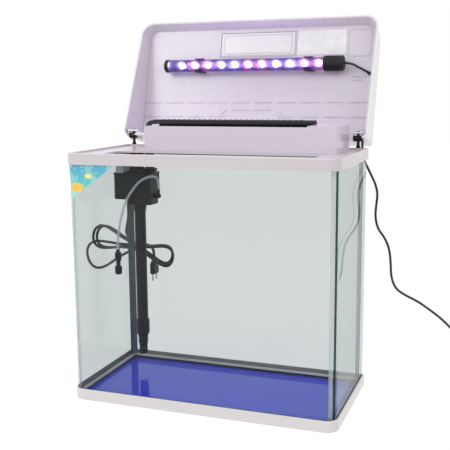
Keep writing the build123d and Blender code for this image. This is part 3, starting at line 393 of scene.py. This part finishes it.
# All finishes, and the nodes that take them
finishes = {
    "white": moulded("frame white", (0.80, 0.765, 0.770), rough=0.3, tone=0.010, coat=0.3),
    # Top frame: the frame's white, darkened and tinted by painted lilac shade from the lit hood.
    "rim": moulded("rim white in painted lilac shade", (0.67, 0.615, 0.645), rough=0.3, tone=0.010, coat=0.3),
    # Hood and its liner: strong painted shade in corners and round the panel's ribs.
    "hood": moulded("hood white", (0.87, 0.85, 0.868), rough=0.28, tone=0.006, coat=0.3, painted_corner_shade=0.75),
    # Liner: white, with painted lilac lamp glow and painted shade in its colour.
    "liner": moulded("liner white in painted lilac lamp glow and shade", (0.74, 0.685, 0.765), rough=0.28, tone=0.006, coat=0.3, painted_corner_shade=0.75),
    # Filter box: white with a painted lilac sheen from the lit hood.
    "box": moulded("box white in painted lilac sheen", (0.73, 0.65, 0.755), rough=0.26, tone=0.010, coat=0.4),
    "glass": clear("float glass", (0.892, 0.905, 0.906), (0.67, 0.75, 0.74)),
    "blue": blue_finish(),
    "floor glass": clear("floor glass", (0.970, 0.980, 0.990), (0.80, 0.85, 0.93), shine=0.10),
    "silicone": moulded("silicone grey", (0.055, 0.062, 0.064), rough=0.3, tone=0.05),
    "bead": moulded("clear grey bead", (0.54, 0.54, 0.56), rough=0.25, tone=0.05),
    "corner bead": moulded("corner bead green grey", (0.12, 0.165, 0.165), rough=0.25, tone=0.05),
    "black": moulded("satin black", (0.005, 0.005, 0.007), rough=0.42, tone=0.1, sheen=0.28),
    # Pump riser: black with a painted blue sheen.
    "black in painted blue sheen": moulded("satin black in painted blue sheen", (0.007, 0.009, 0.022), rough=0.38, tone=0.1, sheen=0.3),
    "grey": moulded("cloudy grey", (0.36, 0.40, 0.41), rough=0.35, tone=0.06),
    "hinge": moulded("hinge black", (0.006, 0.006, 0.007), rough=0.42, tone=0.1, sheen=0.3),
    "steel": metal("plain steel", (0.62, 0.62, 0.64)),
    "brass": metal("plated pins", (0.80, 0.76, 0.66), rough=0.22),
    "lamp": lamp_finish(),
    "lamp black": moulded("rubbery black", (0.006, 0.006, 0.008), rough=0.45, tone=0.1, sheen=0.35),
    "board": moulded("board grey", (0.24, 0.25, 0.28), rough=0.4),
    "led white": glowing("lit blue white", (0.45, 0.42, 1.0), 520.0),
    "led red": glowing("lit rose", (1.0, 0.20, 0.65), 520.0, core=(1.0, 0.70, 0.92)),
    "clip": clear("clip violet", (0.42, 0.30, 0.55), (0.14, 0.08, 0.22), gloss=0.1, haze=0.35),
    "label": label_finish(),
    "corner label": decal_finish(),
    "cord": cord_finish(),
    "tube": clear("tube clear", (0.88, 0.90, 0.91), (0.76, 0.79, 0.80), gloss=0.08, haze=0.5),
    "foam": foam_finish(),
    # Painted light in the front bends: a pale highlight strip and a green refraction strip, for light bent
    # by the glass.
    "bend painted highlight": clear("bend painted highlight", (0.93, 0.95, 0.95), (0.90, 0.93, 0.93), haze=0.35, shine=0.2),
    "bend painted green refraction": clear("bend painted green refraction", (0.16, 0.34, 0.29), (0.10, 0.24, 0.20), shine=0.1),
    "magnet": moulded("magnet dark", (0.03, 0.03, 0.035), rough=0.3),
    "tie": moulded("tie black", (0.012, 0.012, 0.012), rough=0.5),
}

node_finishes = {
    "white": ("bottom_frame",),
    "rim": ("top_frame",),
    "hood": ("hood_shell", "hatch_flap"),
    "liner": ("hood_liner", "hatch_inner"),
    "box": ("filter_box", "box_cover", "filter_grate"),
    "glass": ("wrap_pane", "rear_pane"),
    "floor glass": ("floor_pane",),
    "blue": ("blue_base_sheet",),
    "bead": ("foot_bead",),
    "corner bead": ("corner_beads",),
    "black in painted blue sheen": ("pump_riser",),
    "black": ("pump_housing", "pump_cover", "impeller_chamber", "impeller", "pump_hanger", "venturi",
              "intake_pipe", "intake_coupling", "strainer", "air_valve", "valve_knob", "spray_bar",
              "bar_elbow"),
    "grey": ("grey_clip",),
    "hinge": ("hinge_post_left", "hinge_post_right"),
    "steel": ("hinge_pins", "hatch_pins", "clip_screws", "rotor_shaft"),
    "magnet": ("rotor_magnet",),
    "brass": ("pump_plug_pins",),
    "lamp": ("lamp_tube",),
    "lamp black": ("lamp_end", "lamp_cord_cap", "lamp_plug", "pump_plug"),
    "board": ("lamp_board",),
    "led white": ("leds_white",),
    "led red": ("leds_red",),
    "clip": ("clip_left", "clip_right"),
    "label": ("label_sheet",),
    "tie": ("hank_tie", "coil_tie"),
}


def dress_nodes():
    """Gives each node its finish."""
    for finish, names in node_finishes.items():
        for name in names:
            node = nodes[name]
            for slot in node.material_slots:
                slot.material = finishes[finish]


# Mesh helpers
def add_piece(name, shape, finish, body, smooth=True):
    """Makes an object of a bmesh, which rides on a body."""
    mesh = bpy.data.meshes.new(name)
    bmesh.ops.recalc_face_normals(shape, faces=shape.faces)
    shape.to_mesh(mesh)
    shape.free()
    mesh.polygons.foreach_set("use_smooth", [smooth] * len(mesh.polygons))
    mesh.materials.append(finishes[finish])
    piece = bpy.data.objects.new(name, mesh)
    bpy.context.scene.collection.objects.link(piece)
    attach(piece, body)
    return piece


def spun(profile, steps=24):
    """A bmesh turned round Z from (radius, height) points."""
    shape = bmesh.new()
    ring = [shape.verts.new((radius, 0, z)) for radius, z in profile]
    edges = [shape.edges.new(pair) for pair in zip(ring, ring[1:])]
    bmesh.ops.spin(shape, geom=ring + edges, axis=(0, 0, 1), cent=(0, 0, 0), angle=2 * pi, steps=steps,
                   use_merge=True)
    bmesh.ops.remove_doubles(shape, verts=shape.verts, dist=1e-6)
    return shape


def move(shape, turn, place):
    """Turns a shape by a matrix, then moves it."""
    matrix = Matrix.Translation(place) @ turn
    bmesh.ops.transform(shape, matrix=matrix, verts=shape.verts)


def direction_turn(direction):
    """The turn that points Z along a direction."""
    return Vector(direction).to_track_quat("Z", "Y").to_matrix().to_4x4()


# Camera
def add_camera():
    """The camera that took the picture."""
    lens = bpy.data.cameras.new("camera")
    lens.lens = camera_lens
    lens.sensor_width = sensor_width
    lens.clip_end = 60.0
    camera = bpy.data.objects.new("camera", lens)
    turn = Matrix.Rotation(radians(camera_yaw), 4, "Z")
    turn = turn @ Matrix.Rotation(radians(90 - camera_pitch), 4, "X")
    turn = turn @ Matrix.Rotation(radians(camera_roll), 4, "Z")
    camera.matrix_world = Matrix.Translation(camera_place) @ turn
    bpy.context.scene.collection.objects.link(camera)
    bpy.context.scene.camera = camera


# Routes of the cords
air_route = [
    (-0.151, 0.062, 0.3745), (-0.151, 0.062, 0.389), (-0.149, 0.047, 0.4015), (-0.158, 0.031, 0.4025),
    (-0.176, 0.027, 0.393), (-0.189, 0.0275, 0.378), (-0.203, 0.0272, 0.3595), (-0.2115, 0.0275, 0.340),
    (-0.218, 0.0273, 0.317), (-0.2235, 0.0274, 0.293), (-0.2265, 0.0275, 0.272), (-0.2265, 0.0275, 0.256),
]

lamp_route = [
    (0.186, 0.1962, 0.6152), (0.199, 0.1962, 0.6152), (0.214, 0.1982, 0.6065), (0.231, 0.2032, 0.5976),
    (0.235, 0.2164, 0.5923), (0.2355, 0.2135, 0.5719), (0.2355, 0.2066, 0.5479), (0.2355, 0.1997, 0.5248),
    (0.2352, 0.1938, 0.5036), (0.2342, 0.1882, 0.4885), (0.2336, 0.177, 0.4871), (0.234, 0.1585, 0.482),
    (0.235, 0.1445, 0.480), (0.236, 0.1352, 0.479), (0.2364, 0.1305, 0.4735), (0.2364, 0.1302, 0.450),
    (0.240, 0.136, 0.432), (0.2505, 0.140, 0.410), (0.2605, 0.1405, 0.390), (0.2655, 0.140, 0.371),
    (0.263, 0.1405, 0.350), (0.2615, 0.140, 0.327), (0.267, 0.1405, 0.304), (0.2795, 0.140, 0.2895),
    (0.2895, 0.1405, 0.268), (0.293, 0.140, 0.240), (0.294, 0.1405, 0.214), (0.3025, 0.140, 0.191),
    (0.322, 0.1405, 0.179), (0.345, 0.140, 0.1695), (0.369, 0.1405, 0.154), (0.393, 0.140, 0.137),
    (0.416, 0.1405, 0.114), (0.434, 0.141, 0.088), (0.448, 0.1415, 0.060), (0.464, 0.142, 0.037),
    (0.482, 0.142, 0.0293),
]

pump_route = [
    (-0.222, 0.074, 0.4076), (-0.222, 0.074, 0.426), (-0.222, 0.086, 0.441), (-0.222, 0.103, 0.44875),
    (-0.222, 0.130, 0.44875), (-0.2225, 0.142, 0.437), (-0.225, 0.143, 0.419), (-0.231, 0.1415, 0.398),
    (-0.240, 0.141, 0.374), (-0.250, 0.1415, 0.346), (-0.257, 0.141, 0.318), (-0.262, 0.1415, 0.290),
    (-0.268, 0.141, 0.262),
]

plug_entry = [
    (-0.229, 0.1632, 0.2425), (-0.2150, 0.1632, 0.235), (-0.212, 0.1632, 0.222), (-0.212, 0.1632, 0.210),
]


# Cords
def coil_points(steps=16):
    """Turns that wind down clockwise from the point where the lead arrives."""
    points = []
    for i in range(1, int(coil_turns * steps) + 1):
        angle = pi / 2 - 2 * pi * i / steps
        x = coil_centre[0] + coil_radius * cos(angle)
        y = coil_centre[1] + coil_radius * sin(angle)
        points.append((x, y, coil_bottom + coil_pitch * (coil_turns - i / steps)))
    x = coil_centre[0] + coil_radius
    y = coil_centre[1]
    return points + [(x, y - 0.010, coil_bottom), (x, y - 0.018, coil_bottom + 0.0002),
                     (x, y - 0.0275, 0.0056), (x, y - 0.036, 0.006)]


def turned(x, z, angle):
    """A point of the hank, seen from the front, turned about the tie."""
    return x * cos(angle) - z * sin(angle), x * sin(angle) + z * cos(angle)


def hank_points(steps=13):
    """Lobes to the right and left of the tie, laid one behind another."""
    points = []
    layer = hank_start_y
    for index, reach in enumerate(hank_reaches):
        left = index % 2 == 1
        last = index == len(hank_reaches) - 1
        for i in range(steps):
            turn = pi * (i + 0.5) / steps + (pi if left else 0)
            swell = sin(turn) ** 2
            x = reach * sin(turn)
            z = cos(turn) * (hank_waist + hank_swell * reach * swell)
            if last:
                x, z = turned(x, z, hank_fall)
            climb = max(0.0, (i + 0.5) / steps - 0.5) * 2 if left else 0.0
            x, z = turned(x, z, -hank_tilt)
            points.append((hank_centre[0] + x, layer + hank_pitch * climb, hank_centre[1] + z))
        if left:
            layer += hank_pitch
    return points


def cord_curve(name, points, diameter, finish="cord"):
    """A round cord on one smooth open curve."""
    line = bpy.data.curves.new(name, "CURVE")
    line.dimensions = "3D"
    line.resolution_u = 6
    line.bevel_depth = diameter / 2
    line.bevel_resolution = 4
    line.use_fill_caps = True
    spline = line.splines.new("NURBS")
    spline.points.add(len(points) - 1)
    for point, place in zip(spline.points, points):
        point.co = (*place, 1.0)
    spline.order_u = 3
    spline.use_endpoint_u = True
    line.materials.append(finishes[finish])
    piece = bpy.data.objects.new(name, line)
    bpy.context.scene.collection.objects.link(piece)
    return piece


def curve_mesh(curve):
    """A mesh of a curve as it is drawn."""
    bpy.context.view_layer.update()
    return bpy.data.meshes.new_from_object(curve.evaluated_get(bpy.context.evaluated_depsgraph_get()))


def cord_tube(name, points, diameter):
    """A cord as a mesh tube, and the points that it follows."""
    curve = cord_curve(name + "_line", points, diameter)
    mesh = curve_mesh(curve)
    curve.data.bevel_depth = 0.0
    path = [vertex.co.copy() for vertex in curve_mesh(curve).vertices]
    bpy.data.objects.remove(curve)
    mesh.polygons.foreach_set("use_smooth", [True] * len(mesh.polygons))
    piece = bpy.data.objects.new(name, mesh)
    bpy.context.scene.collection.objects.link(piece)
    return piece, path


def relief(name, place, direction, length, wide, narrow, body):
    """Tapered strain relief with rings round it."""
    rings = 5
    groove = 0.0006
    step = length / (rings * 2 + 1)
    profile = [(narrow * 0.4, 0.0), (wide, 0.0), (wide, step)]
    for i in range(rings):
        z = step * (2 * i + 1)
        size = wide + (narrow - wide) * (z + step) / length
        profile += [(size - groove, z + step * 0.2), (size - groove, z + step * 0.8)]
        profile += [(size, z + step), (size, z + step * 1.9)]
    profile += [(narrow * 0.4, length)]
    shape = spun(profile)
    move(shape, direction_turn(direction), place)
    return add_piece(name, shape, "lamp black", body)


def add_cords():
    """The pump's lead with its strain relief, the lamp's lead and the air hose."""
    pump_points = pump_route + hank_points() + plug_entry
    pump = cord_curve("pump_cord", pump_points, pump_cord)
    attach(pump, "tank")
    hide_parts("pump_lead", "pump_hank")
    sleeve = relief("pump_relief", (-0.222, 0.074, 0.4076), (0, 0, 1), 0.020, 0.0055, 0.0032, "tank")

    lead, path = cord_tube("lamp_cord", lamp_route + coil_points(), lamp_cord)
    lead.data.materials.clear()
    lead.data.materials.append(finishes["cord"])
    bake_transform(lead)
    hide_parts("lamp_lead_inner", "lamp_lead_outer", "lamp_coil")

    air = cord_curve("air_hose", air_route, air_tube, "tube")
    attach(air, "tank")
    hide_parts("air_line")


# Pieces
def add_foam():
    """Filter pad with rounded edges, half a millimetre clear all round."""
    low, high = (Vector(corner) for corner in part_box("filter_foam"))
    shape = bmesh.new()
    bmesh.ops.create_cube(shape, size=1.0)
    bmesh.ops.scale(shape, vec=high - low - Vector((0.001, 0.001, 0.001)), verts=shape.verts)
    bmesh.ops.bevel(shape, geom=shape.edges, offset=0.003, offset_type="OFFSET", segments=3, profile=0.5,
                    affect="EDGES", material=-1)
    bmesh.ops.translate(shape, vec=(low + high) / 2, verts=shape.verts)
    foam = add_piece("foam_pad", shape, "foam", "filter")
    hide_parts("filter_foam")


def add_decal():
    """Triangular label in the upper left corner of the front pane."""
    shape = bmesh.new()
    y = front_face - 0.0003
    corners = [(label_left, y, label_top), (label_right, y, label_top), (label_left + 0.004, y, label_foot)]
    shape.faces.new([shape.verts.new(corner) for corner in corners])
    bmesh.ops.bevel(shape, geom=shape.verts[:], offset=0.0015, offset_type="OFFSET", segments=4,
                    profile=0.5, affect="VERTICES", material=-1)
    extruded = bmesh.ops.extrude_face_region(shape, geom=shape.faces[:])
    moved = [item for item in extruded["geom"] if isinstance(item, bmesh.types.BMVert)]
    bmesh.ops.translate(shape, vec=(0, -0.0002, 0), verts=moved)
    add_piece("corner_label", shape, "corner label", "tank", smooth=False)


def plan_corner(cx, cy, radius, start, steps=8):
    """Points of a quarter round in plan."""
    angles = [start + pi / 2 * i / steps for i in range(steps + 1)]
    return [(cx + radius * cos(a), cy + radius * sin(a)) for a in angles]


def raised_strip(run, low, high):
    """A bmesh of an upright strip that follows points in plan."""
    shape = bmesh.new()
    foot = [shape.verts.new((x, y, low)) for x, y in run]
    edges = [shape.edges.new(pair) for pair in zip(foot, foot[1:])]
    raised = bmesh.ops.extrude_edge_only(shape, edges=edges)
    moved = [item for item in raised["geom"] if isinstance(item, bmesh.types.BMVert)]
    bmesh.ops.translate(shape, vec=(0, 0, high - low), verts=moved)
    return shape


def add_seam():
    """Dark line of sealant between the lower frame's lip and the glass."""
    outside = glass_inset - 0.0005
    half = width / 2 - outside
    back = depth / 2 - glass_inset - 0.004
    front = -depth / 2 + outside
    radius = front_corner - outside
    run = [(-half, back)]
    run += plan_corner(-half + radius, front + radius, radius, pi)
    run += plan_corner(half - radius, front + radius, radius, 1.5 * pi)
    run += [(half, back)]
    shape = raised_strip(run, frame_height - 0.0006, frame_height + 0.0010)
    bmesh.ops.solidify(shape, geom=shape.faces[:], thickness=0.0004)
    add_piece("lower_seam", shape, "silicone", "tank")


def on_panel(x, up):
    """A point on the hood's inner panel."""
    return panel_foot + Vector((x, 0, 0)) + panel_up * up


def add_braces():
    """Slanting ribs where the lower row of ribs steps up."""
    for name, sign in (("left", 1), ("right", -1)):
        high, low = (on_panel(sign * x, up) for x, up in brace_ends)
        shape = bmesh.new()
        bmesh.ops.create_cube(shape, size=1.0)
        size = Vector(((high - low).length + brace_width, brace_width, 2 * brace_rise))
        bmesh.ops.scale(shape, vec=size, verts=shape.verts)
        bmesh.ops.bevel(shape, geom=shape.edges[:], offset=0.0008, offset_type="OFFSET", segments=2,
                        profile=0.5, affect="EDGES", material=-1)
        along = (high - low).normalized()
        turn = Matrix((along, panel_off.cross(along), panel_off)).transposed().to_4x4()
        move(shape, turn, (high + low) / 2)
        add_piece(f"rib_brace_{name}", shape, "liner", "hood")


def add_upright_strip(name, finish, run, low, high, thickness):
    """A thin upright strip on the tank."""
    shape = raised_strip(run, low, high)
    bmesh.ops.recalc_face_normals(shape, faces=shape.faces)
    bmesh.ops.solidify(shape, geom=shape.faces[:], thickness=thickness)
    add_piece(name, shape, finish, "tank")


def add_corner_lines():
    """Painted light in each front bend: a pale highlight strip and a green refraction strip; and sealant
    where the rear and side panes meet.
    """
    top = height - frame_height + 0.004
    side = width / 2 - glass_inset
    bend = front_corner - glass_inset
    inside = side - glass_thickness - 0.0002
    for name, sign in (("left", -1), ("right", 1)):
        centre = (side - bend, front_face + bend)
        for line, finish, start, end in painted_bend_lines:
            steps = [radians(start + (end - start) * i / 4) for i in range(5)]
            reach = bend - glass_thickness / 2
            run = [(sign * (centre[0] + reach * cos(a)), centre[1] + reach * sin(a)) for a in steps]
            add_upright_strip(f"{line}_{name}", finish, run, frame_height - 0.004, top, 0.0002)
        run = [(sign * inside, rear_face - sealant_width), (sign * inside, rear_face)]
        add_upright_strip(f"sealant_{name}", "corner bead", run, sealant_foot, top, 0.0002)


def add_pieces():
    add_foam()
    add_decal()
    add_seam()
    add_corner_lines()
    add_braces()


# Stage
def seen_directly(g):
    """1 for the camera's own rays and for those it sends by a mirror or through a clear sheet."""
    ray = "ShaderNodeLightPath"
    seen = g.add(ray, out="Is Camera Ray").math("MAXIMUM", g.add(ray, out="Is Glossy Ray"))
    return seen.math("MAXIMUM", g.add(ray, out="Is Transmission Ray"))


def stage_finish(name, colour):
    """Pale surface that the camera sees nearly white, and that still takes the object's shadow."""
    g = Graph(name)
    shade = g.mix(g.noise(3.0, 2.0), colour, tuple(c * 0.99 for c in colour))
    paper = g.add("ShaderNodeBsdfDiffuse", {}, {"Color": shade})
    white = g.add("ShaderNodeEmission", {}, {"Color": (1.0, 1.0, 1.0), "Strength": floor_white})
    share = seen_directly(g) * floor_lift
    return g.finish(g.add("ShaderNodeMixShader", {}, {0: share, 1: paper, 2: white}))


def add_floor():
    """A wide pale floor."""
    shape = bmesh.new()
    bmesh.ops.create_grid(shape, x_segments=1, y_segments=1, size=7.0)
    mesh = bpy.data.meshes.new("floor")
    shape.to_mesh(mesh)
    shape.free()
    mesh.materials.append(stage_finish("pale floor", (0.9, 0.9, 0.9)))
    floor = bpy.data.objects.new("floor", mesh)
    bpy.context.scene.collection.objects.link(floor)


def add_world():
    """Even light all round, and a white backdrop."""
    g = Graph("studio", world=True)
    soft = g.add("ShaderNodeBackground", {}, {"Color": (1.0, 1.0, 1.0), "Strength": world_light})
    white = g.add("ShaderNodeBackground", {}, {"Color": (1.0, 1.0, 1.0), "Strength": 1.0})
    mixed = g.add("ShaderNodeMixShader", {}, {0: seen_directly(g), 1: soft, 2: white})
    bpy.context.scene.world = g.finish(mixed)


def add_lamp(name, place, target, size, power):
    """A soft box."""
    light = bpy.data.lights.new(name, "AREA")
    light.size = size
    light.energy = power
    lamp = bpy.data.objects.new(name, light)
    aim = Vector(target) - Vector(place)
    lamp.matrix_world = Matrix.Translation(place) @ aim.to_track_quat("-Z", "Y").to_matrix().to_4x4()
    bpy.context.scene.collection.objects.link(lamp)


def add_lights():
    add_world()
    for soft_box in soft_boxes:
        add_lamp(*soft_box)


bpy.context.scene.view_settings.view_transform = "Standard"
add_camera()
add_cords()
dress_nodes()
add_pieces()
add_floor()
add_lights()
